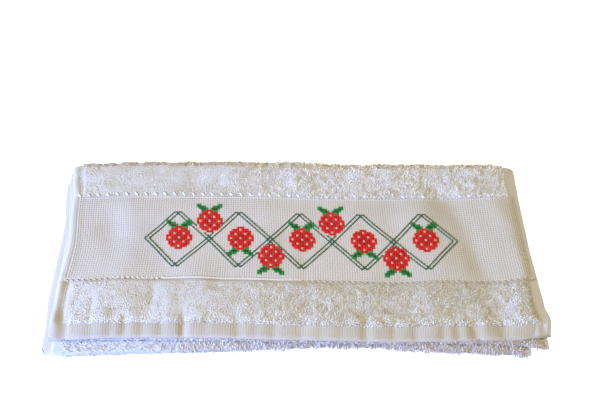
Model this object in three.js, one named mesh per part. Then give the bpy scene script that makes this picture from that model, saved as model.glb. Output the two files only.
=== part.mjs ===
// A cotton guest towel with a counted-thread band, folded in half twice like a book and lying flat.
//
// Millimetres, +Z up.  X runs across the cloth, from one long side to the other.  Both end hems lie at the
// front (-Y), and the outer fold is at the back (+Y).  From the top down the layers are:
//   top     first hem at the front, terry, counted-thread band, terry, then over the outer back fold
//   second  second hem at the front, running back to the inner back fold
//   third   from the inner back fold to the front fold
//   bottom  from the front fold back to the outer back fold; its underside lies on the surface
//
// The towel is one piece of cloth, so it is one closed solid: a grid of rows (along the cloth) and columns
// (across it) is laid along the folded path, and given the cloth's own thickness at every point.

import * as THREE from 'three';

// ---------- the cloth laid out flat ----------
const CLOTH_LENGTH = 515;        // hem to hem
const CLOTH_WIDTH = 300;         // side to side
const END_HEM_DEPTH = 9.7;       // turned hem at each end
const BAND_START = 37.2;         // first hem's edge to the near side of the counted-thread band
const BAND_END = 97.7;           // first hem's edge to the far side of the band
const SIDE_HEM_WIDTH = 8;        // turned hem along each long side, free of loops
const WEAVE_CHANGE = 1.4;        // length over which one weave gives way to the next

// ---------- thickness of the cloth ----------
const TERRY_THICKNESS = 3.1;     // ground cloth with its loops on both faces
const BAND_THICKNESS = 1.3;
const END_HEM_THICKNESS = 2.2;
const SIDE_HEM_THICKNESS = 1.5;  // at its stitch line
const SIDE_RIDGE_THICKNESS = 2.2; // the turned edge itself, which puffs up
const RAW_RIM_THICKNESS = 1.1;   // where the rounded outer edge is closed off

// ---------- the folded stack ----------
const HEM_LINE = -60.7;          // where the first hem's edge lies, in Y
const OUTER_FOLD_CENTRE = 62;    // centre of the outer back fold, in Y
const OVERHANG_WIDTH = 13;       // the upper layers stand out this far over the lower ones, on the right
const FOLD_CLEARANCE = 0.6;      // least distance of the inner back fold's centre in front of the outer one's

// Underside of each layer: its height in the middle, how far and over what width it sinks over the thinner
// side hems below it, and how far it droops on the right, where less of the stack carries it.
const LAYERS = {
  top:    { height: 10.8, leftSink: 1.4, rightSink: 1.1, droop: 2.8, sinkWidth: 6 },
  second: { height: 7.2,  leftSink: 0.3, rightSink: 0.2, droop: 2.3, sinkWidth: 6 },
  third:  { height: 3.6,  leftSink: 1.1, rightSink: 1.1, droop: 0,   sinkWidth: 9 },
  bottom: { height: 0,    leftSink: 0,   rightSink: 0,   droop: 0,   sinkWidth: 9 },
};

// The two long sides: where they lie in X at each distance along the cloth from the first hem.
const SIDES = [
  { along: 0,   left: -145.5, right: 156.8 },   // first hem, front
  { along: 10,  left: -146,   right: 158.3 },
  { along: 20,  left: -146.2, right: 156 },
  { along: 37,  left: -146.5, right: 155 },
  { along: 60,  left: -145.4, right: 153.8 },
  { along: 98,  left: -148.7, right: 153.3 },
  { along: 122, left: -152,   right: 153.6 },   // outer back fold
  { along: 139, left: -155,   right: 150 },
  { along: 170, left: -153,   right: 148 },
  { along: 190, left: -150.4, right: 147 },
  { along: 206, left: -154,   right: 147 },
  { along: 228, left: -153.8, right: 146 },
  { along: 258, left: -151.6, right: 144.5 },   // front fold
  { along: 272, left: -151.6, right: 144.5 },
  { along: 292, left: -153.6, right: 145.5 },
  { along: 326, left: -154,   right: 147 },
  { along: 344, left: -150.4, right: 147 },
  { along: 378, left: -158.2, right: 148 },
  { along: 394, left: -155,   right: 149 },     // inner back fold
  { along: 420, left: -151,   right: 151 },
  { along: 439, left: -148.5, right: 151 },
  { along: 515, left: -147,   right: 155 },     // second hem, front
];

// The uneven edges: how far each stands in front of the hem line, and how far the outer back fold falls
// short, at each distance across the cloth from its middle.
const EDGES = [
  { across: -150, firstHem: -0.5, secondHem: -2.5, frontFold: 8,   backShort: 1.8 },
  { across: -140, firstHem: -0.4, secondHem: -2.5, frontFold: 8.6, backShort: 1 },
  { across: -105, firstHem: -1,   secondHem: -2.5, frontFold: 7.4, backShort: 0.2 },
  { across: -70,  firstHem: -1,   secondHem: -2,   frontFold: 6.2, backShort: 0 },
  { across: -40,  firstHem: -0.5, secondHem: -2,   frontFold: 5.5, backShort: -0.2 },
  { across: -8,   firstHem: 0,    secondHem: -1,   frontFold: 3.6, backShort: -0.4 },
  { across: 26,   firstHem: 0.9,  secondHem: 0,    frontFold: 2.5, backShort: 1.3 },
  { across: 52,   firstHem: 1.5,  secondHem: 0,    frontFold: 2.6, backShort: 1.9 },
  { across: 80,   firstHem: 1.1,  secondHem: 0,    frontFold: 4.6, backShort: 1.9 },
  { across: 108,  firstHem: 0.6,  secondHem: 1,    frontFold: 6.2, backShort: 2.4 },
  { across: 130,  firstHem: 0.3,  secondHem: 2.6,  frontFold: 7,   backShort: 2.6 },
  { across: 141,  firstHem: -1,   secondHem: 4,    frontFold: 7.4, backShort: 2.8 },
  { across: 150,  firstHem: -2.9, secondHem: 4.3,  frontFold: 7.2, backShort: 3.2 },
];

// ---------- the grid ----------
const MIDDLE_COLUMNS = 17;       // across the cloth between the side hems
const OUTER_FOLD_STEPS = 12;
const NARROW_FOLD_STEPS = 8;
const LAYER_STEPS = 8;           // between two folds

// ---------- small helpers ----------

/** 0 before start, 1 after end, and an S-curve between them. */
function smoothRamp(value, start, end) {
  const t = THREE.MathUtils.clamp((value - start) / (end - start), 0, 1);
  return t * t * (3 - 2 * t);
}

/** Reads one named column of a table at a value of its first column, easing from row to row. */
function readTable(table, key, value, column) {
  if (value <= table[0][key]) return table[0][column];
  for (let i = 1; i < table.length; i += 1) {
    const before = table[i - 1];
    const after = table[i];
    if (value <= after[key]) {
      const mix = smoothRamp(value, before[key], after[key]);
      return THREE.MathUtils.lerp(before[column], after[column], mix);
    }
  }
  return table[table.length - 1][column];
}

// ---------- the cloth's own thickness ----------

/** Thickness by the weave at a distance along the cloth, away from the side hems. */
function weaveThickness(along) {
  const half = WEAVE_CHANGE / 2;
  const inFirstHem = 1 - smoothRamp(along, END_HEM_DEPTH - half, END_HEM_DEPTH + half);
  const secondHemStart = CLOTH_LENGTH - END_HEM_DEPTH;
  const inSecondHem = smoothRamp(along, secondHemStart - half, secondHemStart + half);
  const inBand = smoothRamp(along, BAND_START - half, BAND_START + half)
    - smoothRamp(along, BAND_END - half, BAND_END + half);
  const edgeDistance = Math.min(along, CLOTH_LENGTH - along);
  const rim = 1 - smoothRamp(edgeDistance, 0, 1.2);
  const thickness = TERRY_THICKNESS
    + (inFirstHem + inSecondHem) * (END_HEM_THICKNESS - TERRY_THICKNESS)
    + inBand * (BAND_THICKNESS - TERRY_THICKNESS);
  return THREE.MathUtils.lerp(thickness, RAW_RIM_THICKNESS, rim);
}

/** Thickness anywhere: the side hem's rim, ridge and stitch line, then the weave of the middle. */
function clothThickness(along, fromSide) {
  const ridge = THREE.MathUtils.lerp(RAW_RIM_THICKNESS, SIDE_RIDGE_THICKNESS, smoothRamp(fromSide, 0, 1.4));
  const stitchLine = smoothRamp(fromSide, 1.8, 5);
  const sideHem = THREE.MathUtils.lerp(ridge, SIDE_HEM_THICKNESS, stitchLine);
  const weave = smoothRamp(fromSide, SIDE_HEM_WIDTH - 1.5, SIDE_HEM_WIDTH + 1.5);
  const edgeDistance = Math.min(along, CLOTH_LENGTH - along);
  const endRim = 1 - smoothRamp(edgeDistance, 0, 1.2);
  const hem = THREE.MathUtils.lerp(sideHem, RAW_RIM_THICKNESS, endRim);
  return THREE.MathUtils.lerp(hem, weaveThickness(along), weave);
}

// ---------- the folded path ----------

/** Height of a layer's underside at a distance across the cloth. */
function layerHeight(layer, across) {
  const fromLeft = across + CLOTH_WIDTH / 2;
  const fromRight = CLOTH_WIDTH / 2 - across;
  const leftSink = layer.leftSink * (1 - smoothRamp(fromLeft, 0, layer.sinkWidth));
  const rightSink = layer.rightSink * (1 - smoothRamp(fromRight, 0, layer.sinkWidth));
  const droop = layer.droop * (1 - smoothRamp(fromRight, 0, OVERHANG_WIDTH));
  return layer.height - leftSink - rightSink - droop;
}

/**
 * The rows of one column of the cloth, hem to hem.  Each row has its distance along the cloth, its place
 * (y, z) on the cloth's middle surface, and the direction (ny, nz) of the face with the embroidery.
 */
function foldedColumn(across) {
  const fromSide = CLOTH_WIDTH / 2 - Math.abs(across);
  const terryHalf = clothThickness(CLOTH_LENGTH / 2, fromSide) / 2;
  const edge = (column) => readTable(EDGES, 'across', across, column);
  const middle = {};
  for (const [name, layer] of Object.entries(LAYERS)) {
    middle[name] = layerHeight(layer, across) + terryHalf;
  }
  const outerRadius = (middle.top - middle.bottom) / 2;
  const frontRadius = (middle.third - middle.bottom) / 2;
  const innerRadius = (middle.second - middle.third) / 2;

  const firstHem = HEM_LINE - edge('firstHem');
  const secondHem = HEM_LINE - edge('secondHem');
  const outerCentre = OUTER_FOLD_CENTRE - edge('backShort');
  const frontCentre = HEM_LINE - edge('frontFold') + frontRadius + terryHalf;
  // The inner back fold lies wherever the rest of the cloth's length puts it.  The thin side hems turn on
  // smaller radii, and their slack stays in the fold.
  const turns = Math.PI * (outerRadius + frontRadius + innerRadius);
  const known = (outerCentre - firstHem) + (outerCentre - frontCentre) + turns;
  const lengthLeft = CLOTH_LENGTH - known;
  const innerCentre = Math.min((lengthLeft + frontCentre + secondHem) / 2, outerCentre - FOLD_CLEARANCE);

  const rows = [];
  let along = 0;

  // A flat layer from one y to another, at a layer's height; its thickness may change on the way.
  const layFlat = (layer, yStart, yEnd, stops, face) => {
    const start = along;
    const length = Math.abs(yEnd - yStart);
    const direction = Math.sign(yEnd - yStart);
    for (const stop of stops(length)) {
      along = start + stop;
      const y = yStart + direction * stop;
      const z = layerHeight(layer, across) + clothThickness(along, fromSide) / 2;
      rows.push({ along, y, z, ny: 0, nz: face });
    }
    along = start + length;
  };

  // A half turn about a centre, from one layer to the next; side is +1 at the back and -1 at the front.
  const turn = (centreY, zStart, zEnd, steps, side, outward) => {
    const start = along;
    const radius = Math.abs(zEnd - zStart) / 2;
    const centreZ = (zStart + zEnd) / 2;
    const rise = Math.sign(zEnd - zStart);
    for (let i = 0; i <= steps; i += 1) {
      const angle = Math.PI * (i / steps);
      const outY = side * Math.sin(angle);
      const outZ = -rise * Math.cos(angle);
      along = start + radius * angle;
      rows.push({
        along,
        y: centreY + radius * outY,
        z: centreZ + radius * outZ,
        ny: outward * outY,
        nz: outward * outZ,
      });
    }
  };

  const evenStops = (length) => {
    const stops = [];
    for (let i = 1; i < LAYER_STEPS; i += 1) stops.push(length * (i / LAYER_STEPS));
    return stops;
  };
  const half = WEAVE_CHANGE / 2;
  const topStops = (length) => [
    0, 1.2, END_HEM_DEPTH / 2, END_HEM_DEPTH - half, END_HEM_DEPTH + half,
    THREE.MathUtils.lerp(END_HEM_DEPTH, BAND_START, 0.36),
    THREE.MathUtils.lerp(END_HEM_DEPTH, BAND_START, 0.68),
    BAND_START - half, BAND_START + half,
    THREE.MathUtils.lerp(BAND_START, BAND_END, 0.2),
    THREE.MathUtils.lerp(BAND_START, BAND_END, 0.4),
    THREE.MathUtils.lerp(BAND_START, BAND_END, 0.6),
    THREE.MathUtils.lerp(BAND_START, BAND_END, 0.8),
    BAND_END - half, BAND_END + half,
    THREE.MathUtils.lerp(BAND_END, length, 0.5),
  ];
  const secondStops = (length) => {
    const hemStart = length - END_HEM_DEPTH;
    return [
      ...evenStops(hemStart - half),
      hemStart - half, hemStart + half, length - END_HEM_DEPTH / 2, length - 1.2, length,
    ];
  };

  layFlat(LAYERS.top, firstHem, outerCentre, topStops, 1);
  turn(outerCentre, middle.top, middle.bottom, OUTER_FOLD_STEPS, 1, 1);
  layFlat(LAYERS.bottom, outerCentre, frontCentre, evenStops, -1);
  turn(frontCentre, middle.bottom, middle.third, NARROW_FOLD_STEPS, -1, 1);
  layFlat(LAYERS.third, frontCentre, innerCentre, evenStops, 1);
  turn(innerCentre, middle.third, middle.second, NARROW_FOLD_STEPS, 1, -1);
  along = CLOTH_LENGTH - (innerCentre - secondHem);
  layFlat(LAYERS.second, innerCentre, secondHem, secondStops, -1);
  return { rows, fromSide };
}

/** Distances across the cloth, from its middle, of the grid's columns: close together in the side hems. */
function columnPositions() {
  const hem = [0, 1.4, 5, SIDE_HEM_WIDTH - 1.5, SIDE_HEM_WIDTH + 1.5];
  const left = hem.map((step) => step - CLOTH_WIDTH / 2);
  const right = hem.map((step) => CLOTH_WIDTH / 2 - step).reverse();
  const from = left[left.length - 1];
  const to = right[0];
  const middle = [];
  for (let i = 1; i < MIDDLE_COLUMNS; i += 1) middle.push(THREE.MathUtils.lerp(from, to, i / MIDDLE_COLUMNS));
  return [...left, ...middle, ...right];
}

// ---------- the solid ----------

/** The towel as one closed mesh: embroidered face, back face, and the four rims that join them. */
function towelGeometry() {
  const columns = columnPositions().map((across) => ({ across, ...foldedColumn(across) }));
  const rowCount = columns[0].rows.length;
  const positions = [];
  for (const side of [1, -1]) {
    for (const { across, rows, fromSide } of columns) {
      for (const row of rows) {
        const left = readTable(SIDES, 'along', row.along, 'left');
        const right = readTable(SIDES, 'along', row.along, 'right');
        const x = THREE.MathUtils.lerp(left, right, across / CLOTH_WIDTH + 0.5);
        const offset = side * clothThickness(row.along, fromSide) / 2;
        positions.push(x, row.y + row.ny * offset, row.z + row.nz * offset);
      }
    }
  }

  const faceCount = columns.length * rowCount;
  const index = [];
  const vertex = (side, column, row) => side * faceCount + column * rowCount + row;
  const quad = (a, b, c, d) => index.push(a, b, c, a, c, d);
  for (let c = 0; c + 1 < columns.length; c += 1) {
    for (let r = 0; r + 1 < rowCount; r += 1) {
      quad(vertex(0, c, r), vertex(0, c + 1, r), vertex(0, c + 1, r + 1), vertex(0, c, r + 1));
      quad(vertex(1, c, r), vertex(1, c, r + 1), vertex(1, c + 1, r + 1), vertex(1, c + 1, r));
    }
  }
  const last = columns.length - 1;
  const lastRow = rowCount - 1;
  for (let r = 0; r + 1 < rowCount; r += 1) {
    quad(vertex(0, 0, r), vertex(0, 0, r + 1), vertex(1, 0, r + 1), vertex(1, 0, r));
    quad(vertex(0, last, r), vertex(1, last, r), vertex(1, last, r + 1), vertex(0, last, r + 1));
  }
  for (let c = 0; c + 1 < columns.length; c += 1) {
    quad(vertex(0, c, 0), vertex(1, c, 0), vertex(1, c + 1, 0), vertex(0, c + 1, 0));
    quad(vertex(0, c, lastRow), vertex(0, c + 1, lastRow), vertex(1, c + 1, lastRow), vertex(1, c, lastRow));
  }

  const geometry = new THREE.BufferGeometry();
  geometry.setAttribute('position', new THREE.Float32BufferAttribute(positions, 3));
  geometry.setIndex(index);
  geometry.computeVertexNormals();
  return geometry;
}

const cotton = new THREE.MeshStandardMaterial({ color: 0xd9d6d4, roughness: 0.95, metalness: 0 });
const towel = new THREE.Mesh(towelGeometry(), cotton);
towel.name = 'towel';

const guestTowel = new THREE.Group();
guestTowel.add(towel);

export default guestTowel;
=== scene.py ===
"""A cotton guest towel with a cross-stitched counted-thread band, folded in half twice and lying flat.

Tables and sizes of the cloth are in millimetres, and become metres when a mesh is made.  X runs across the
cloth, -Y is the front, where both end hems lie, and +Z is up.  A place on the cloth is given by two
distances: along, from the first hem's edge, and across, from the middle of the width.
"""

import logging
import math
from dataclasses import dataclass, field
from enum import Enum
from typing import NamedTuple, Sequence

import bpy
import numpy as np
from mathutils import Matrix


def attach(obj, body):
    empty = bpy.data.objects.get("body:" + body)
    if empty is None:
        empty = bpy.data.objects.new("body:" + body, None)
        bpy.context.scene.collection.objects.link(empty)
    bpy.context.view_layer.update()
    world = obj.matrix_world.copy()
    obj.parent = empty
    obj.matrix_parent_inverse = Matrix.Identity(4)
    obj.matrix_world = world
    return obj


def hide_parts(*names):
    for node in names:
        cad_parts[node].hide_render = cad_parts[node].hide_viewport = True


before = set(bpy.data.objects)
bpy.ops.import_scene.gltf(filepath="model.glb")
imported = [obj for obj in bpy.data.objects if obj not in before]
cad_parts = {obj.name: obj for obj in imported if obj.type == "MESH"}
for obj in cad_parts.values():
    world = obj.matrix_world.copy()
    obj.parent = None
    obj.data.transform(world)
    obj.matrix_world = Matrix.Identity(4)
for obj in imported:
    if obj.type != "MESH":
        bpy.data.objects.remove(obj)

log = logging.getLogger("guest_towel")

Array = np.ndarray
MM = 0.001
CAD_NODE = "towel"
BODY = "root"

# The cloth laid flat, and the blocks of its counted-thread weave from side to side.
CLOTH_LENGTH = 515.0
CLOTH_WIDTH = 300.0
BLOCKS_ACROSS = 195
BLOCK = CLOTH_WIDTH / BLOCKS_ACROSS

# The stretches along the cloth that turn from one layer to the next.
OUTER_FOLD = (119.0, 143.0)
FRONT_FOLD = (256.0, 276.0)
INNER_FOLD = (380.0, 397.0)


# ---------------------------------------------------------------- small helpers


def smooth_ramp(value: Array, start: float, end: float) -> Array:
    """Rises from 0 before start to 1 after end, on an S-curve.

    Args:
        value: where the ramp is read.
        start: where it begins to rise.
        end: where it has reached 1.

    Returns:
        The ramp's height at each value.
    """
    t = np.clip((value - start) / (end - start), 0.0, 1.0)
    return t * t * (3.0 - 2.0 * t)


def mix(first: Array, second: Array, share: Array) -> Array:
    """Returns first where share is 0 and second where it is 1."""
    return first + (second - first) * share


def unit(vectors: Array) -> Array:
    """Returns the vectors, each at length 1."""
    return vectors / np.maximum(np.linalg.norm(vectors, axis=-1, keepdims=True), 1e-12)


def read_table(rows: Sequence[NamedTuple], value: Array, column: str) -> Array:
    """Reads one named column of a table, easing from row to row.

    Args:
        rows: the table, sorted by its first column.
        value: where it is read, in the first column's terms.
        column: the name of the column.

    Returns:
        The column's value at each place.
    """
    keys = np.array([row[0] for row in rows])
    values = np.array([getattr(row, column) for row in rows])
    before = np.clip(np.searchsorted(keys, value, side="right") - 1, 0, len(keys) - 2)
    share = smooth_ramp((value - keys[before]) / (keys[before + 1] - keys[before]), 0.0, 1.0)
    return mix(values[before], values[before + 1], share)


class SmoothNoise:
    """Soft unevenness over the cloth: seeded values on a coarse grid, eased between its points."""

    def __init__(self, seed: int, cell: float) -> None:
        """Draws the grid's values; cell is its spacing in millimetres."""
        self.cell = cell
        self.values = np.random.default_rng(seed).uniform(-1.0, 1.0, (256, 256))

    def __call__(self, along: Array, across: Array) -> Array:
        """Returns the noise, from -1 to 1, at places on the cloth."""
        u = along / self.cell + 60.0
        v = across / self.cell + 120.0
        i = np.floor(u).astype(int)
        j = np.floor(v).astype(int)
        su = smooth_ramp(u - i, 0.0, 1.0)
        sv = smooth_ramp(v - j, 0.0, 1.0)
        near = mix(self.values[i % 256, j % 256], self.values[(i + 1) % 256, j % 256], su)
        far = mix(self.values[i % 256, (j + 1) % 256], self.values[(i + 1) % 256, (j + 1) % 256], su)
        return mix(near, far, sv)


# ---------------------------------------------------------------- the folded cloth


class SideRow(NamedTuple):
    """Where the two long sides lie in X, at a distance along the cloth."""

    along: float
    left: float
    right: float


class EdgeRow(NamedTuple):
    """How far each edge stands in front of the hem line, and the back fold falls short of its own."""

    across: float
    first_hem: float
    second_hem: float
    front_fold: float
    back_short: float


class LayerRow(NamedTuple):
    """A layer's underside: its height, and how it sinks over the side hems and droops on the right."""

    height: float
    left_sink: float
    right_sink: float
    droop: float
    sink_width: float


class Crease(NamedTuple):
    """A soft ridge or valley of the top layer: the places it runs through, its half width and its height."""

    path: tuple[tuple[float, float], ...]
    width: float
    height: float


class Pucker(NamedTuple):
    """A dip across the first hem where its stitching draws it in; lean is its slant to the right."""

    across: float
    width: float
    depth: float
    lean: float


SIDES = (
    SideRow(0, -145.5, 156.8),
    SideRow(10, -146, 158.3),
    SideRow(20, -146.2, 156),
    SideRow(37, -146.5, 155),
    SideRow(60, -145.4, 153.8),
    SideRow(98, -148.7, 153.3),
    SideRow(122, -152, 153.6),
    SideRow(139, -155, 150),
    SideRow(170, -153, 148),
    SideRow(190, -153.6, 147),
    SideRow(206, -153.6, 147),
    SideRow(228, -153.8, 146),
    SideRow(258, -151.6, 144.5),
    SideRow(272, -151.6, 144.5),
    SideRow(292, -153.6, 145.5),
    SideRow(326, -153.6, 147),
    SideRow(344, -153.6, 147),
    SideRow(378, -157.6, 148),
    SideRow(394, -155, 149),
    SideRow(420, -151, 151),
    SideRow(439, -148.5, 151),
    SideRow(515, -147, 155),
)

EDGES = (
    EdgeRow(-150, -0.5, -0.6, 3.4, 1.0),
    EdgeRow(-146.5, -0.5, -0.6, 7.0, 0.9),
    EdgeRow(-140, -0.4, -0.7, 8.6, 0.6),
    EdgeRow(-105, -1.4, -0.9, 7.4, -0.4),
    EdgeRow(-70, -1.4, -0.8, 6.2, -0.6),
    EdgeRow(-40, -0.9, -0.4, 5.5, -0.6),
    EdgeRow(-8, 0.0, 0.4, 3.6, -0.5),
    EdgeRow(26, 0.9, 1.2, 2.5, 1.1),
    EdgeRow(52, 1.5, 1.6, 2.6, 1.7),
    EdgeRow(80, 1.1, 1.2, 4.6, 1.7),
    EdgeRow(108, 0.6, 1.6, 6.2, 2.0),
    EdgeRow(130, 0.3, 2.6, 7.0, 1.9),
    EdgeRow(141, -1.0, 4.0, 7.4, 1.9),
    EdgeRow(150, -2.9, 4.3, 7.2, 0.3),
)

LAYERS = {
    "top": LayerRow(10.8, 1.4, 1.1, 2.8, 6),
    "second": LayerRow(7.2, 1.3, 0.2, 2.3, 8),
    "third": LayerRow(3.6, 1.7, 1.1, 0.0, 9),
    "bottom": LayerRow(0.0, 0.0, 0.0, 0.0, 9),
}

CREASES = (
    # The front hem sinks onto the layers below.
    Crease(((-150, 0), (150, 0)), 4, -0.9),
    # The valley that runs from the band's back corner to the front hem on the right, and its two banks.
    Crease(((102, 96), (111, 73), (117, 49), (119, 12)), 8.5, -1.3),
    Crease(((112, 60), (114, 50)), 7, -0.4),
    Crease(((132, 94), (139, 69), (142, 49), (135, 16)), 8, 1.3),
    Crease(((80, 92), (91, 49)), 12, 1.0),
    Crease(((84, 36), (80, 10)), 7, 0.9),
    # Soft swells of the front terry, and the troughs between them.
    Crease(((14, 34), (16, 14)), 14, 0.8),
    Crease(((56, 38), (57, 16)), 12, -0.6),
    Crease(((4, 60), (4, 14)), 3.5, -0.4),
    Crease(((-60, 34), (-62, 16)), 12, 0.7),
    Crease(((-89, 32), (-90, 12)), 3.0, -0.8),
    Crease(((-79, 30), (-80, 14)), 4, 0.4),
    Crease(((-113, 36), (-116, 13)), 10, 1.1),
    Crease(((-40, 30), (-42, 12)), 6, -0.4),
    # Small dimples by the left hem, and the tuck where the band's border meets it.
    Crease(((-137, 24), (-137, 19)), 2.4, -0.6),
    Crease(((-132, 17), (-132, 14)), 1.9, -0.5),
    Crease(((-138, 14), (-138, 12)), 2.0, -0.6),
    Crease(((-133, 31), (-134, 27)), 2.0, -0.6),
    Crease(((-125, 24), (-125, 18)), 1.8, -0.5),
    Crease(((-147, 37), (-136, 35.6)), 1.6, -1.3),
    # Along the band: a rise in front of its back border, and shallow swells and hollows.
    Crease(((-120, 88), (84, 86)), 9, 0.8),
    Crease(((-104, 66), (-84, 60)), 8, 0.4),
    Crease(((-122, 86), (-122, 70)), 8, -0.9),
    Crease(((-112, 92), (-104, 72)), 9, 0.5),
    Crease(((-110, 60), (-106, 46)), 9, 0.5),
    Crease(((-86, 56), (-86, 44)), 9, -0.5),
    Crease(((-66, 46), (-66, 40)), 8, 0.4),
    Crease(((-46, 46), (-46, 40)), 8, -0.4),
    Crease(((-20, 88), (-20, 66)), 11, 0.6),
    Crease(((14, 88), (14, 66)), 11, -0.6),
    Crease(((48, 46), (48, 40)), 8, 0.4),
    Crease(((68, 46), (68, 40)), 8, -0.4),
    Crease(((40, 94), (40, 88)), 8, 0.5),
    Crease(((10, 50), (12, 40)), 8, -0.5),
    Crease(((62, 94), (60, 86)), 8, -0.5),
    Crease(((44, 78), (44, 58)), 5, -0.4),
    # The back terry bulges towards the fold, in waves, and sinks beside the right hem.
    Crease(((-142, 118), (142, 118)), 9, 1.0),
    Crease(((-36, 104), (-40, 118)), 8, 0.8),
    Crease(((-66, 102), (-64, 116)), 7, -0.6),
    Crease(((2, 104), (0, 118)), 8, 0.8),
    Crease(((28, 104), (27, 116)), 8, -0.35),
    Crease(((62, 104), (64, 118)), 9, 0.9),
    Crease(((92, 102), (90, 118)), 7, -0.9),
    Crease(((118, 104), (118, 116)), 9, 0.5),
    Crease(((142, 104), (140, 124)), 3.5, -0.9),
    # The turned hems at the sides: a raised rim, a trough inside it, and the two lifted left corners.
    Crease(((-148, 10), (-148, 40)), 2.6, 0.7),
    Crease(((-142, 12), (-141.5, 34)), 3.6, -0.8),
    Crease(((-140.5, 1), (-140.5, 9)), 2.6, -0.9),
    Crease(((-142, 0), (-142, 7)), 8.5, -1.6),
    Crease(((-152, 0), (-152, 8)), 8, 3.0),
    Crease(((-151, 106), (-151, 128)), 4.5, 2.0),
    Crease(((147.5, 6), (147.5, 36)), 2.6, 1.5),
    Crease(((142, 8), (142, 36)), 2.8, -0.9),
)

PUCKERS = (
    Pucker(-125, 3.2, 0.49, 0),
    Pucker(-113.5, 3, 0.57, 0),
    Pucker(-105, 3, 0.9, 0),
    Pucker(-94.5, 3.4, 0.82, -0.3),
    Pucker(-83, 3, 0.66, 0),
    Pucker(-70, 2.7, 1.7, 0.3),
    Pucker(-57, 3, 0.41, 0),
    Pucker(-37.5, 3.4, 0.74, 0.3),
    Pucker(-27, 3, 0.41, 0),
    Pucker(-16, 3.2, 0.66, 0),
    Pucker(0, 4, 0.66, 0.6),
    Pucker(12, 3, 0.33, 0.5),
    Pucker(24, 3, 0.33, 0),
    Pucker(38.5, 3.2, 1.15, 1),
    Pucker(55, 3, 0.66, 0.6),
    Pucker(68, 3.2, 0.82, 1),
    Pucker(84, 3.2, 0.82, 1.6),
    Pucker(93, 3, 0.98, 1.6),
    Pucker(103.5, 3.8, 1.6, 3),
    Pucker(120.5, 4.2, 0.98, 2.8),
)


class Weave(Enum):
    """The kinds of cloth along the towel, and their own thickness in millimetres."""

    TERRY = 1.6
    BAND = 1.3
    END_HEM = 2.0
    SIDE_HEM = 1.5


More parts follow.
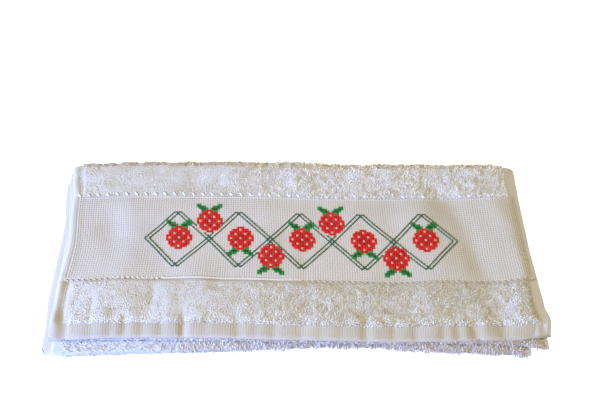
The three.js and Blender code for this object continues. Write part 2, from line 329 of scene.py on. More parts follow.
@dataclass
class FoldedCloth:
    """The towel's cloth and the folds it lies in: gives the place of any point of the cloth.

    Attributes:
        length: from hem to hem, laid flat.
        width: from side to side, laid flat.
        end_hem: depth of the turned hem at each end.
        band_start: from the first hem's edge to the counted-thread band.
        band_end: from the first hem's edge to the far side of the band.
        side_hem: width of the turned hem along each side.
        weave_change: length over which one weave gives way to the next.
        back_slope: how far behind the band the cloth has risen to the terry's thickness.
        pile_thickness: thickness of the terry with its loops, which sets the layers apart.
        solid_band_thickness: the same for the band.
        solid_end_hem_thickness: the same for the end hems.
        side_ridge: thickness of the side hem's turned edge.
        rim: thickness where an outer edge is closed off.
        rim_depth: how far in from an end the rim has reached the hem's thickness.
        side_rounding: how far in from a side the edge is round.
        side_trough: how far in from a side the turned edge has sunk to the hem.
        side_change: half the width over which the side hem gives way to the weave.
        ridge_lower: the stretch over which the side ridge sinks; behind it the ridge stays low.
        flat_corner: the stretch over which the ridge rises behind the flat left front corner.
        band_inset: how far in from a side the raised blocks begin to cover the cloth.
        ribs_inset: the same for the ribs of the hem.
        hem_line: where the first hem's edge lies, in Y.
        outer_fold_centre: centre of the solid's outer fold, in Y.
        pile_room: how far the sheet's outer fold lies in front of that, which leaves room for the loops.
        overhang: width over which the upper layers droop on the right.
        fold_clearance: least distance of the inner back fold's centre in front of the outer one's.
        swell_end: the stretch over which creases and unevenness fade out on the outer fold.
        unevenness: soft waves of the cloth.
        tufts: the pile bed's own small unevenness.
    """

    length: float = CLOTH_LENGTH
    width: float = CLOTH_WIDTH
    end_hem: float = 9.7
    band_start: float = 37.2
    band_end: float = 97.7
    side_hem: float = 8.0
    weave_change: float = 1.4
    back_slope: float = 2.8
    pile_thickness: float = 3.1
    solid_band_thickness: float = 1.3
    solid_end_hem_thickness: float = 2.2
    side_ridge: float = 2.5
    rim: float = 0.6
    rim_depth: float = 1.2
    side_rounding: float = 3.0
    side_trough: float = 5.4
    side_change: float = 1.5
    ridge_lower: tuple[float, float] = (116.0, 126.0)
    flat_corner: tuple[float, float] = (6.0, 12.0)
    band_inset: tuple[float, float] = (3.2, 4.8)
    ribs_inset: tuple[float, float] = (12.0, 13.5)
    hem_line: float = -60.7
    outer_fold_centre: float = 62.0
    pile_room: float = 0.9
    overhang: float = 10.0
    fold_clearance: float = 0.6
    swell_end: tuple[float, float] = (128.0, 138.0)
    unevenness: SmoothNoise = field(default_factory=lambda: SmoothNoise(11, 8.5))
    tufts: SmoothNoise = field(default_factory=lambda: SmoothNoise(12, 4.2))

    def _zones(self, along: Array) -> tuple[Array, Array, Array]:
        """Returns how much of each place is end hem, band, and outermost rim of an end."""
        half = self.weave_change / 2
        from_end = np.minimum(along, self.length - along)
        hem = 1.0 - smooth_ramp(from_end, self.end_hem - half, self.end_hem + half)
        band = smooth_ramp(along, self.band_start - half, self.band_start + half)
        band = band - smooth_ramp(along, self.band_end - half, self.band_end + self.back_slope)
        rim = 1.0 - smooth_ramp(from_end, 0.0, self.rim_depth)
        return hem, band, rim

    def _thickness(self, along: Array, across: Array, terry: float, band: float, hem: float) -> Array:
        """Returns the thickness at each place, from the thicknesses of the three weaves."""
        in_hem, in_band, in_rim = self._zones(along)
        from_side = self.width / 2 - np.abs(across)
        weave = terry + in_hem * (hem - terry) + in_band * (band - terry)
        inwards = np.clip(from_side / self.side_rounding, 0.0, 1.0)
        rounded = np.sqrt(np.clip(1.0 - (1.0 - inwards) ** 2, 0.0, 1.0))
        crest = mix(self.side_ridge, Weave.SIDE_HEM.value + 0.2, smooth_ramp(along, *self.ridge_lower))
        corner = (1.0 - smooth_ramp(along, *self.flat_corner)) * (across < 0.0)
        crest = mix(crest, Weave.SIDE_HEM.value, corner)
        ridge = mix(self.rim, crest, rounded)
        side = mix(ridge, Weave.SIDE_HEM.value, smooth_ramp(from_side, self.side_rounding, self.side_trough))
        inside = smooth_ramp(from_side, self.side_hem - self.side_change, self.side_hem + self.side_change)
        return mix(mix(side, weave, inside), self.rim, in_rim)

    def thickness(self, along: Array, across: Array) -> Array:
        """Returns the thickness of the cloth itself, without its pile."""
        return self._thickness(along, across, Weave.TERRY.value, Weave.BAND.value, Weave.END_HEM.value)

    def covered(self, along: Array, across: Array) -> Array:
        """Returns how much of each place lies under one of the raised weaves."""
        in_hem, in_band, in_rim = self._zones(along)
        from_side = self.width / 2 - np.abs(across)
        inside = smooth_ramp(from_side, *self.band_inset)
        beside_hem = smooth_ramp(from_side, *self.ribs_inset)
        near_hem = in_hem * (along < self.length / 2) * (1.0 - in_rim) * beside_hem
        return in_band * inside + near_hem

    def solid_thickness(self, along: Array, across: Array) -> Array:
        """Returns the thickness with the pile, which is what keeps the layers apart."""
        return self._thickness(
            along, across, self.pile_thickness, self.solid_band_thickness, self.solid_end_hem_thickness
        )

    def layer_height(self, layer: LayerRow, across: Array) -> Array:
        """Returns the height of a layer's underside."""
        from_left = across + self.width / 2
        from_right = self.width / 2 - across
        left = layer.left_sink * (1.0 - smooth_ramp(from_left, 0.0, layer.sink_width))
        right = layer.right_sink * (1.0 - smooth_ramp(from_right, 0.0, layer.sink_width))
        droop = layer.droop * (1.0 - smooth_ramp(from_right, 0.0, self.overhang))
        return layer.height - left - right - droop

    def swell(self, along: Array, across: Array) -> Array:
        """Returns how far the top layer stands above its plain height: creases, puckers, unevenness."""
        height = np.zeros(np.broadcast(along, across).shape)
        for crease in CREASES:
            distance = np.full(height.shape, np.inf)
            for near, far in zip(crease.path, crease.path[1:]):
                run = np.subtract(far, near)
                du = across - near[0]
                dv = along - near[1]
                share = np.clip((du * run[0] + dv * run[1]) / float(run @ run), 0.0, 1.0)
                distance = np.minimum(distance, np.hypot(du - share * run[0], dv - share * run[1]))
            height = height + crease.height * np.exp(-((distance / crease.width) ** 2))
        from_hem = 1.0 - smooth_ramp(along, self.end_hem - 1.0, self.end_hem + 12.0)
        for pucker in PUCKERS:
            middle = pucker.across + pucker.lean * (0.5 - along / self.end_hem)
            dip = np.exp(-(((across - middle) / pucker.width) ** 2))
            height = height - pucker.depth * dip * from_hem
        in_hem, in_band, _ = self._zones(along)
        terry = 1.0 - in_hem - in_band
        height = height + (0.10 + 0.32 * terry) * self.unevenness(along, across)
        height = height + 0.16 * terry * self.tufts(along, across)
        inside = smooth_ramp(self.width / 2 - np.abs(across), 0.0, 12.0)
        return height * (1.0 - smooth_ramp(along, *self.swell_end)) * mix(0.6, 1.0, inside)

    def middle(self, along: Array, across: Array) -> tuple[Array, Array]:
        """Finds the cloth's middle surface.

        Args:
            along: distances from the first hem's edge.
            across: distances from the middle of the width.

        Returns:
            The points, and the direction in which the embroidered face looks at each.
        """
        along, across = np.broadcast_arrays(np.asarray(along, float), np.asarray(across, float))
        half = self.solid_thickness(np.full(across.shape, self.length / 2), across) / 2
        height = {name: self.layer_height(layer, across) for name, layer in LAYERS.items()}
        outer_radius = (height["top"] - height["bottom"]) / 2
        front_radius = (height["third"] - height["bottom"]) / 2
        inner_radius = (height["second"] - height["third"]) / 2
        first_hem = self.hem_line - read_table(EDGES, across, "first_hem")
        second_hem = self.hem_line - read_table(EDGES, across, "second_hem")
        outer = self.outer_fold_centre - self.pile_room - read_table(EDGES, across, "back_short")
        front = self.hem_line - read_table(EDGES, across, "front_fold") + front_radius + half
        turns = math.pi * (outer_radius + front_radius + inner_radius)
        left = self.length - (outer - first_hem) - (outer - front) - turns
        inner = np.minimum((left + front + second_hem) / 2, outer - self.fold_clearance)

        # Where each stretch of the path ends; the slack of the thin side hems is spread over the last ones.
        top_end = outer - first_hem
        outer_end = top_end + math.pi * outer_radius
        bottom_end = outer_end + outer - front
        front_end = bottom_end + math.pi * front_radius
        third_end = front_end + inner - front
        inner_end = third_end + math.pi * inner_radius
        path_end = inner_end + inner - second_hem
        slack = (path_end - front_end) / (self.length - front_end)
        path = np.where(along > front_end, front_end + (along - front_end) * slack, along)

        solid_half = self.solid_thickness(along, across) / 2
        on_top = path < top_end
        y = np.where(on_top, first_hem + path, 0.0)
        z = np.where(on_top, height["top"] + solid_half, 0.0)
        ny = np.zeros(path.shape)
        nz = np.where(on_top, 1.0, 0.0)

        def flat(begin: Array, end: Array, y_here: Array, name: str, face: float) -> None:
            """Lays the stretch of path between begin and end flat, as one layer."""
            here = (path >= begin) & (path < end)
            y[here] = y_here[here]
            z[here] = (height[name] + solid_half)[here]
            nz[here] = face

        def turn(begin: Array, end: Array, centre: Array, low: str, radius: Array, back: float, rise: float,
                 outward: float) -> None:
            """Turns the stretch between begin and end half round, from one layer to the next."""
            here = (path >= begin) & (path < end)
            angle = ((path - begin) / np.maximum(radius, 1e-6))[here]
            out_y = back * np.sin(angle)
            out_z = -rise * np.cos(angle)
            centre_z = (height[low] + half + radius)[here]
            y[here] = centre[here] + radius[here] * out_y
            z[here] = centre_z + radius[here] * out_z
            ny[here] = outward * out_y
            nz[here] = outward * out_z

        turn(top_end, outer_end, outer, "bottom", outer_radius, 1.0, -1.0, 1.0)
        flat(outer_end, bottom_end, outer - (path - outer_end), "bottom", -1.0)
        turn(bottom_end, front_end, front, "bottom", front_radius, -1.0, 1.0, 1.0)
        flat(front_end, third_end, front + (path - front_end), "third", 1.0)
        turn(third_end, inner_end, inner, "third", inner_radius, 1.0, 1.0, -1.0)
        flat(inner_end, path_end + 1.0, inner - (path - inner_end), "second", -1.0)

        rise = np.where(path < outer_end, self.swell(along, across), 0.0)
        y = y + ny * rise
        z = z + nz * rise
        left_side = read_table(SIDES, along, "left")
        right_side = read_table(SIDES, along, "right")
        x = mix(left_side, right_side, across / self.width + 0.5)
        points = np.stack([x, y, z], axis=-1)
        return points, np.stack([np.zeros(path.shape), ny, nz], axis=-1)

    def face(self, along: Array, across: Array, lift: Array = 0.0, side: float = 1.0) -> Array:
        """Finds points on a face of the cloth, or a little above it.

        Args:
            along: distances from the first hem's edge.
            across: distances from the middle of the width.
            lift: height above the face.
            side: 1 for the embroidered face and -1 for the other.

        Returns:
            The points, in millimetres.
        """
        points, normal = self.middle(along, across)
        out = side * (self.thickness(along, across) / 2 + lift)
        return points + normal * np.asarray(out)[..., None]

    def directions(self, along: Array, across: Array) -> tuple[Array, Array, Array]:
        """Returns the unit directions across the cloth, along it, and out of its embroidered face."""
        step = 0.4
        behind = np.clip(along - step, 0.0, self.length)
        ahead = np.clip(along + step, 0.0, self.length)
        limit = self.width / 2
        left = np.clip(across - step, -limit, limit)
        right = np.clip(across + step, -limit, limit)
        lengthwise = unit(self.middle(ahead, across)[0] - self.middle(behind, across)[0])
        crosswise = unit(self.middle(along, right)[0] - self.middle(along, left)[0])
        outward = unit(np.cross(crosswise, lengthwise))
        return crosswise, unit(np.cross(outward, crosswise)), outward


# ---------------------------------------------------------------- meshes from arrays


@dataclass
class MeshParts:
    """Points and faces gathered for one piece, with a UV pair and two shades for each point."""

    points: list[Array] = field(default_factory=list)
    faces: list[Array] = field(default_factory=list)
    polygons: list[list[int]] = field(default_factory=list)
    uvs: list[Array] = field(default_factory=list)
    tones: list[Array] = field(default_factory=list)
    count: int = 0

    def add(self, points: Array, faces: Array, uv: Array, tone: Array) -> int:
        """Adds a block of points with its four-sided faces.

        Args:
            points: places in millimetres, one row each.
            faces: four point numbers a row, counted within the block.
            uv: two values a point, which the finish reads.
            tone: two values a point: a shade, random with painted light and shade on the pile, and how far
                out it lies.

        Returns:
            The number that the block's first point has in the whole piece.
        """
        first = self.count
        self.points.append(points.reshape(-1, 3))
        self.faces.append(faces.reshape(-1, 4) + first)
        self.uvs.append(uv.reshape(-1, 2))
        self.tones.append(tone.reshape(-1, 2))
        self.count += len(self.points[-1])
        return first

    def make(self, name: str) -> bpy.types.Object:
        """Makes the gathered faces one smooth-shaded object at the origin.

        Args:
            name: the piece's name.

        Returns:
            The new object.
        """
        points = np.concatenate(self.points) * MM
        faces = np.concatenate(self.faces)
        corners = np.concatenate([faces.ravel(), *(np.array(p, dtype=int) for p in self.polygons)])
        totals = np.array([4] * len(faces) + [len(p) for p in self.polygons], dtype=np.int32)
        starts = np.concatenate([[0], np.cumsum(totals)[:-1]]).astype(np.int32)
        mesh = bpy.data.meshes.new(name)
        mesh.vertices.add(len(points))
        mesh.vertices.foreach_set("co", points.astype(np.float32).ravel())
        mesh.loops.add(len(corners))
        mesh.loops.foreach_set("vertex_index", corners.astype(np.int32))
        mesh.polygons.add(len(totals))
        mesh.polygons.foreach_set("loop_start", starts)
        mesh.polygons.foreach_set("loop_total", totals)
        uv_layer = mesh.uv_layers.new(name="cloth")
        uv_layer.data.foreach_set("uv", np.concatenate(self.uvs)[corners].astype(np.float32).ravel())
        tone = np.concatenate(self.tones)
        colours = np.stack([tone[:, 0], tone[:, 1], tone[:, 0], np.ones(len(tone))], axis=-1)
        attribute = mesh.attributes.new("tone", "FLOAT_COLOR", "POINT")
        attribute.data.foreach_set("color", colours.astype(np.float32).ravel())
        mesh.update()
        mesh.validate()
        mesh.polygons.foreach_set("use_smooth", np.ones(len(mesh.polygons), dtype=bool))
        piece = bpy.data.objects.new(name, mesh)
        bpy.context.scene.collection.objects.link(piece)
        return piece


def grid_faces(rows: int, columns: int, flip: bool = False) -> Array:
    """Returns the four-sided faces of a grid of points that is stored row by row."""
    r, c = np.meshgrid(np.arange(rows - 1), np.arange(columns - 1), indexing="ij")
    a = (r * columns + c).ravel()
    quads = np.stack([a, a + 1, a + columns + 1, a + columns], axis=-1)
    return quads[:, ::-1] if flip else quads


def tube_faces(rings: int, sides: int) -> Array:
    """Returns the faces of one open tube whose points are stored ring by ring."""
    ring, corner = np.meshgrid(np.arange(rings - 1), np.arange(sides), indexing="ij")
    following = (corner + 1) % sides
    quads = [ring * sides + corner, ring * sides + following,
             (ring + 1) * sides + following, (ring + 1) * sides + corner]
    return np.stack([q.ravel() for q in quads], axis=-1)


def many_tubes(paths: Array, up: Array, wide: Array, high: Array, sides: int) -> tuple[Array, Array]:
    """Makes many short tubes at once.

    Args:
        paths: the tubes' centre lines, as (tube, ring, 3).
        up: for each ring, roughly the direction of the section's height.
        wide: half the section's width at each ring.
        high: half its height at each ring.
        sides: the number of the section's corners.

    Returns:
        The points as (tube, ring, side, 3), and all faces as rows of four point numbers.
    """
    tubes, rings = paths.shape[:2]
    run = unit(np.gradient(paths, axis=1))
    across = unit(np.cross(run, up))
    above = np.cross(across, run)
    angle = np.arange(sides) * (2 * math.pi / sides) + math.pi / sides
    ring = (
        across[:, :, None, :] * (np.cos(angle)[:, None] * np.asarray(wide)[..., None, None])
        + above[:, :, None, :] * (np.sin(angle)[:, None] * np.asarray(high)[..., None, None])
    )
    points = paths[:, :, None, :] + ring
    single = tube_faces(rings, sides)
    offsets = np.arange(tubes)[:, None, None] * (rings * sides)
    return points, (single[None] + offsets).reshape(-1, 4)


# ---------------------------------------------------------------- finishes


class Value:
    """A shader socket that takes part in Python sums, each of which adds a Math node."""

    def __init__(self, graph: "Graph", socket: bpy.types.NodeSocket) -> None:
        """Keeps the graph, which adds nodes, and the socket."""
        self.graph = graph
        self.socket = socket

    def __add__(self, other: "Value | float") -> "Value":
        """Returns the sum."""
        return self.graph.math("ADD", self, other)

    def __radd__(self, other: "Value | float") -> "Value":
        """Returns the sum."""
        return self.graph.math("ADD", other, self)

    def __sub__(self, other: "Value | float") -> "Value":
        """Returns the difference."""
        return self.graph.math("SUBTRACT", self, other)

    def __rsub__(self, other: "Value | float") -> "Value":
        """Returns the difference, the other way round."""
        return self.graph.math("SUBTRACT", other, self)

    def __mul__(self, other: "Value | float") -> "Value":
        """Returns the product."""
        return self.graph.math("MULTIPLY", self, other)


class Graph:
    """The node graph of one new material."""

    def __init__(self, name: str) -> None:
        """Makes the material and empties its graph."""
        self.material = bpy.data.materials.new(name)
        self.material.use_nodes = True
        self.tree = self.material.node_tree
        self.tree.nodes.clear()

    def node(self, kind: str, settings: dict | None = None, **inputs: object) -> bpy.types.Node:
        """Adds a node.

        Args:
            kind: the node's type.
            settings: the node's own settings, which are set first.
            inputs: values or links of its sockets; an underscore in a name stands for a space.

        Returns:
            The new node.
        """
        made = self.tree.nodes.new(kind)
        for key, value in (settings or {}).items():
            setattr(made, key, value)
        for key, value in inputs.items():
            self.feed(made.inputs[key.replace("_", " ")], value)
        return made

    def feed(self, socket: bpy.types.NodeSocket, value: object) -> None:
        """Links a value to a socket, or sets the socket to a plain number or colour."""
        if isinstance(value, Value):
            self.tree.links.new(value.socket, socket)
        else:
            socket.default_value = value

    def out(self, node: bpy.types.Node, name: str) -> Value:
        """Returns an output of a node as a value."""
        return Value(self, node.outputs[name])

    def math(self, operation: str, first: object, second: object = 0.0) -> Value:
        """Returns the result of a Math node."""
        made = self.node("ShaderNodeMath", {"operation": operation})
        self.feed(made.inputs[0], first)
        self.feed(made.inputs[1], second)
        return self.out(made, "Value")

    def blend(self, first: object, second: object, share: object) -> Value:
        """Returns a colour between two colours, by a share from 0 to 1."""
        made = self.node("ShaderNodeMix", {"data_type": "RGBA"})
        self.feed(made.inputs[0], share)
        self.feed(made.inputs[6], first)
        self.feed(made.inputs[7], second)
        return Value(self, made.outputs[2])

    def noise(self, scale: float, detail: float = 2.0) -> Value:
        """Returns a noise pattern on the piece's own coordinates; scale is in repeats a metre."""
        place = self.out(self.node("ShaderNodeTexCoord"), "Object")
        made = self.node("ShaderNodeTexNoise", Vector=place, Scale=scale, Detail=detail)
        return Value(self, made.outputs[0])

    def crosswise(self) -> Value:
        """Returns the distance from the middle of the towel towards its right side, in metres."""
        place = self.out(self.node("ShaderNodeTexCoord"), "Object")
        return self.out(self.node("ShaderNodeSeparateXYZ", Vector=place), "X")

    def ramp(self, value: Value, low: float, high: float) -> Value:
        """Returns 0 where the value is at low, 1 where it is at high, and an S-curve between."""
        made = self.node("ShaderNodeMapRange", {"interpolation_type": "SMOOTHSTEP"},
                         Value=value, From_Min=low, From_Max=high)
        return self.out(made, "Result")

    def cloth_place(self) -> tuple[Value, Value]:
        """Returns the distances across and along the cloth, in millimetres."""
        uv = self.out(self.node("ShaderNodeUVMap", {"uv_map": "cloth"}), "UV")
        split = self.node("ShaderNodeSeparateXYZ", Vector=uv)
        return self.out(split, "X"), self.out(split, "Y")

    def tone(self) -> tuple[Value, Value]:
        """Returns a point's shade, random with painted light and shade on the pile, and how far out it lies.
        """
        colour = self.out(self.node("ShaderNodeAttribute", {"attribute_name": "tone"}), "Color")
        split = self.node("ShaderNodeSeparateColor", Color=colour)
        return self.out(split, "Red"), self.out(split, "Green")

    def finish(self, colour: Value, roughness: object, height: Value, depth: float,
               sheen: float = 0.0, sheen_roughness: float = 0.6, glow: float = 0.0) -> bpy.types.Material:
        """Closes the graph with the surface shader.

        Args:
            colour: base colour.
            roughness: its roughness.
            height: relief, from 0 to 1, for the bump.
            depth: how deep the relief is, in metres.
            sheen: weight of the soft fibre sheen.
            sheen_roughness: its roughness.
            glow: emission strength, in white.

        Returns:
            The finished material.
        """
        bump = self.node("ShaderNodeBump", Strength=1.0, Distance=depth, Height=height)
        shader = self.node("ShaderNodeBsdfPrincipled", Base_Color=colour, Roughness=roughness,
                           Normal=self.out(bump, "Normal"))
        shader.inputs["Specular IOR Level"].default_value = 0.25
        shader.inputs["Sheen Weight"].default_value = sheen
        shader.inputs["Sheen Roughness"].default_value = sheen_roughness
        shader.inputs["Emission Color"].default_value = (1.0, 1.0, 1.0, 1.0)
        shader.inputs["Emission Strength"].default_value = glow
        target = self.node("ShaderNodeOutputMaterial")
        self.tree.links.new(shader.outputs[0], target.inputs[0])
        return self.material


Colour = tuple[float, float, float, float]


def rgb(red: float, green: float, blue: float) -> Colour:
    """Returns a linear colour with full opacity."""
    return (red, green, blue, 1.0)


@dataclass(frozen=True)
class ClothFinish:
    """Undyed cotton ground cloth: fine over-and-under threads, and a bed of short pile where it is terry.

    Light and shade are painted into it by place: a bluish painted light on the left of the front fold and of
    the second hem's end, with painted shade to their right; a tan painted shade on the outer fold and along
    the first hem's front edge; a bluish painted light along the right side; a painted shadow line in front of
    the band; and a bed under the pile painted lighter, which lifts the shade between the loops.
    """

    name: str = "cotton_ground"
    light: Colour = rgb(0.61, 0.58, 0.545)
    shade: Colour = rgb(0.49, 0.465, 0.435)
    # The bed under the pile is painted lighter and bluer than the plain cloth, as painted light that lifts
    # the shade between the loops.
    pile_light: Colour = rgb(0.655, 0.645, 0.65)
    pile_shade: Colour = rgb(0.58, 0.565, 0.555)
    # Painted light and shade on the front fold and the second hem's end: a bluish light on the left, a darker
    # shade to the right.
    front_left_painted_light: Colour = rgb(0.55, 0.59, 0.71)
    front: Colour = rgb(0.48, 0.45, 0.45)
    front_stretch: tuple[float, float] = (254.0, 292.0)
    # Painted shade: the outer fold is painted tan, where it curves away from the light.
    back: Colour = rgb(0.63, 0.58, 0.55)
    back_stretch: tuple[float, float] = (119.0, 146.0)
    second_end: tuple[float, float] = (503.0, 520.0)
    # Painted shade along the first hem's front edge.
    rim: Colour = rgb(0.51, 0.47, 0.42)
    # Painted light: the strip along the right side is painted bluish, as if lit, where it slopes away from
    # the lamps.
    right_side: Colour = rgb(0.71, 0.70, 0.87)
    thread_pitch: float = 0.62
    terry: tuple[tuple[float, float], ...] = ((9.7, 37.2), (101.0, 505.3))
    terry_reach: float = 142.0
    # Painted shadow: a darker line in front of the band, under its border stitches.
    shaded_seam: Colour = rgb(0.55, 0.52, 0.48)
    shaded_seam_along: float = 36.3
    relief: float = 0.00016

    def make(self) -> bpy.types.Material:
        """Returns the material."""
        graph = Graph(self.name)
        across, along = graph.cloth_place()
        turn = 2 * math.pi / self.thread_pitch
        warp = graph.math("SINE", across * turn)
        weft = graph.math("SINE", along * turn)
        weave = warp * weft * 0.5 + 0.5
        fuzz = graph.noise(900.0, 3.0)
        blotches = graph.noise(60.0, 2.0)
        from_middle = graph.math("ABSOLUTE", across)
        inside = 1.0 - graph.ramp(from_middle, self.terry_reach - 0.6, self.terry_reach + 0.6)
        in_pile = graph.ramp(along, self.terry[0][0], self.terry[0][0] + 0.8)
        for (_, end), (start, _) in zip(self.terry, self.terry[1:]):
            in_pile = in_pile * (1.0 - graph.ramp(along, end - 0.4, end + 0.4))
            in_pile = in_pile + graph.ramp(along, start - 0.4, start + 0.4)
        in_pile = in_pile * (1.0 - graph.ramp(along, self.terry[-1][1] - 0.8, self.terry[-1][1])) * inside
        loops = graph.noise(1000.0, 1.0)
        flat = weave * 0.35 + fuzz * 0.5 + blotches * 0.3
        share = graph.ramp(flat, 0.3, 0.75)
        plain = graph.blend(self.shade, self.light, share)
        # Painted light: the bed under the pile, lighter than the plain cloth.
        bed = graph.blend(self.pile_shade, self.pile_light, graph.ramp(loops * 0.8 + blotches * 0.3, 0.35, 0.75))
        # Painted light: a bluish strip along the right side.
        plain = graph.blend(plain, self.right_side, graph.ramp(across, 134.0, 142.0) * 0.95)
        colour = graph.blend(plain, bed, in_pile)
        # Painted light and shade by place: bluish light to shade across the front fold and the second hem's
        # end, tan shade on the outer fold.
        front = graph.blend(self.front_left_painted_light, self.front, graph.ramp(across, -90.0, -40.0))
        turns = ((front, self.front_stretch), (self.back, self.back_stretch), (front, self.second_end))
        for turned, (begin, end) in turns:
            in_turn = graph.ramp(along, begin, begin + 4.0) * (1.0 - graph.ramp(along, end - 4.0, end))
            colour = graph.blend(colour, turned, in_turn * inside)
        # Painted shade along the first hem's front edge.
        colour = graph.blend(self.rim, colour, graph.ramp(along, 0.6, 1.6))
        # Painted shadow line in front of the band.
        off_shaded_seam = graph.ramp(graph.math("ABSOLUTE", along - self.shaded_seam_along), 0.5, 1.0)
        colour = graph.blend(self.shaded_seam, colour, off_shaded_seam)
        height = (weave * 0.5 + fuzz * 0.4) * (1.0 - in_pile) + (loops * 0.7 + fuzz * 0.3) * in_pile
        roughness = 0.88 + fuzz * 0.1
        return graph.finish(colour, roughness, height, self.relief, sheen=0.25)


@dataclass(frozen=True)
class BandFinish:
    """Counted-thread cotton: blocks of four threads, warp over weft in turn, with a hole at each corner.

    The grooves between the blocks are painted in shade, more faintly on the left, where the cloth is painted
    darker.
    """

    name: str = "cotton_band"
    light: Colour = rgb(0.705, 0.67, 0.645)
    shade: Colour = rgb(0.46, 0.43, 0.40)
    hole: Colour = rgb(0.36, 0.34, 0.31)
    block: float = BLOCK
    threads: int = 4
    crossed: bool = True
    groove_depth: float = 0.32
    relief: float = 0.00010

    def make(self) -> bpy.types.Material:
        """Returns the material."""
        graph = Graph(self.name)
        across, along = graph.cloth_place()
        turn = 2 * math.pi / self.block
        u_wave = graph.math("COSINE", across * turn)
        v_wave = graph.math("COSINE", along * turn)
        warp = graph.math("COSINE", across * (turn * self.threads)) * 0.5 + 0.5
        weft = graph.math("COSINE", along * (turn * self.threads)) * 0.5 + 0.5
        half = graph.math("SINE", across * (turn / 2)) * graph.math("SINE", along * (turn / 2))
        over = graph.ramp(half, -0.15, 0.15)
        threads = warp * over + weft * (1.0 - over)
        groove = graph.ramp(u_wave, 0.55, 1.0)
        corner = graph.ramp(u_wave + v_wave, 1.2, 1.9)
        if self.crossed:
            groove = graph.math("MAXIMUM", groove, graph.ramp(v_wave, 0.7, 1.0) * 0.35)
        else:
            corner = corner * 0.0
        fuzz = graph.noise(1400.0, 2.0)
        blotches = graph.noise(45.0, 2.0)
        # Painted shade: grooves and holes are darkened, more faintly on the left, and the cloth on the left
        # is painted darker, which evens out the strong low light from that side.
        groove_shade_share = graph.ramp(across, -120.0, -50.0) * 0.6 + 0.4
        dark = groove * groove_shade_share * self.groove_depth
        dark = dark + (1.0 - groove_shade_share) * 0.2
        share = graph.ramp(threads * 0.3 + fuzz * 0.3 + blotches * 0.35 - dark, -0.2, 0.75)
        cloth = graph.blend(self.shade, self.light, share)
        colour = graph.blend(cloth, self.hole, corner * groove_shade_share * 0.7)
        height = threads * 0.6 + fuzz * 0.4 - corner * 0.8 - groove * 0.5
        return graph.finish(colour, 0.86 + fuzz * 0.1, height, self.relief, sheen=0.2)


@dataclass(frozen=True)
class PileFinish:
    """Looped cotton pile: soft twisted yarn, blended from a lit colour and a shaded one, with painted shade
    down between the loops.
    """

    name: str = "cotton_pile"
    light: Colour = rgb(0.78, 0.79, 0.84)
    shade: Colour = rgb(0.56, 0.52, 0.46)
    right_light: Colour | None = None
    right_shade: Colour | None = None
    relief: float = 0.00003

    def make(self) -> bpy.types.Material:
        """Returns the material."""
        graph = Graph(self.name)
        tone, out = graph.tone()
        twist, _ = graph.cloth_place()
        strands = graph.math("SINE", twist * 9.0) * 0.5 + 0.5
        fuzz = graph.noise(1800.0, 2.0)
        # Painted light and shade: the loop's tone, and its height in the loop, blend the shaded colour into
        # the lit one, darker down at the base.
        share = graph.ramp(out * 0.14 + tone * 0.8 + fuzz * 0.1, 0.02, 1.02)
        light = self.light
        shade = self.shade
        # Painted light and shade on the right: warmer and less blue there.
        if self.right_light is not None and self.right_shade is not None:
            to_right = graph.ramp(graph.crosswise(), -0.03, 0.09)
            light = graph.blend(light, self.right_light, to_right)
            shade = graph.blend(shade, self.right_shade, to_right)
        colour = graph.blend(shade, light, share)
        height = strands * 0.6 + fuzz * 0.5
        return graph.finish(colour, 0.9 + fuzz * 0.08, height, self.relief, sheen=0.1)


@dataclass(frozen=True)
class ThreadFinish:
    """Stranded cotton for stitches: a soft lustre, and painted shade between the strands and where each
    stitch dips into the cloth.
    """

    name: str
    light: Colour
    shade: Colour
    strands: float = 2.0
    roughness: float = 0.6
    relief: float = 0.00006
    sheen: float = 0.01

    def make(self) -> bpy.types.Material:
        """Returns the material."""
        graph = Graph(self.name)
        tone, out = graph.tone()
        twist, _ = graph.cloth_place()
        ply = graph.math("COSINE", twist * (2 * math.pi * self.strands)) * 0.5 + 0.5
        fuzz = graph.noise(2500.0, 2.0)
        # Painted shade between the strands and towards each stitch's ends.
        share = graph.ramp(ply * 0.3 + out * 0.5 + tone * 0.35 + fuzz * 0.2, 0.1, 0.95)
        colour = graph.blend(self.shade, self.light, share)
        return graph.finish(colour, self.roughness + fuzz * 0.15, ply * 0.7 + fuzz * 0.4,
                            self.relief, sheen=self.sheen, sheen_roughness=0.4)


@dataclass(frozen=True)
class FloorFinish:
    """A plain pale studio floor, almost white."""

    name: str = "studio_floor"
    light: Colour = rgb(0.93, 0.93, 0.93)
    shade: Colour = rgb(0.91, 0.91, 0.91)
    glow: float = 0.66

    def make(self) -> bpy.types.Material:
        """Returns the material."""
        graph = Graph(self.name)
        grain = graph.noise(40.0, 2.0)
        colour = graph.blend(self.shade, self.light, grain)
        return graph.finish(colour, 0.9, grain, 0.00001, glow=self.glow)


# ---------------------------------------------------------------- the towel's pieces


def dress(piece: bpy.types.Object, material: bpy.types.Material) -> bpy.types.Object:
    """Gives a piece its material and its body, and reports it.

    Args:
        piece: the new object.
        material: its finish.

    Returns:
        The same object.
    """
    piece.data.materials.clear()
    piece.data.materials.append(material)
    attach(piece, BODY)
    log.info("%s: %d points, %d faces", piece.name, len(piece.data.vertices), len(piece.data.polygons))
    return piece


def evenly(start: float, end: float, step: float) -> Array:
    """Returns places from start to just before end, about step apart."""
    count = max(1, round((end - start) / step))
    return np.linspace(start, end, count, endpoint=False)


